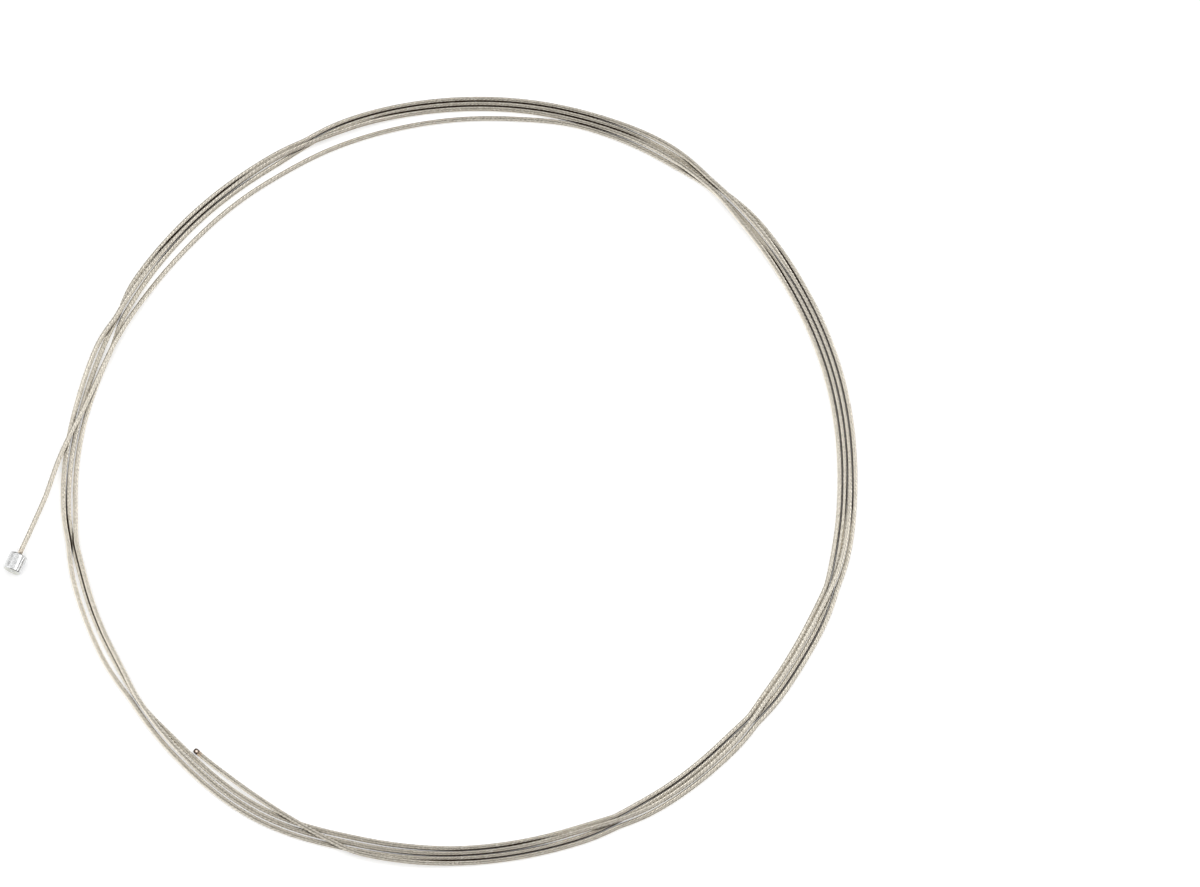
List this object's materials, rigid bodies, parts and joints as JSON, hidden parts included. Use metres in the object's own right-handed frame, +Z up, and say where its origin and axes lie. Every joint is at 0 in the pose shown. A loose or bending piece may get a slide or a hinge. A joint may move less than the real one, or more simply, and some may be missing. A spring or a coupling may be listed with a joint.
{
  "type": "bicycle shift cable",
  "caption": "Stranded steel inner cable for bicycle gears, with a barrel head, lying in a loose round coil with its bare cut end among the turns.",
  "frame": {"origin": "under the middle of the whole cable's box, on the surface that the coil lies on", "axes": "+X from the head's side across the coil, +Y away from the head along the lead's side, +Z up out of the flat coil"},
  "size_m": [0.2088, 0.198, 0.0045],
  "materials": {
    "cast_head": "bright die-cast metal, satin, slightly mottled",
    "steel_strand": "drawn stainless wire laid in a left-hand strand, semi-bright"
  },
  "bodies": {
    "root": {"cable_head": "cast_head", "cable_lead": "steel_strand", "cable_coil": "steel_strand"}
  },
  "joints": []
}
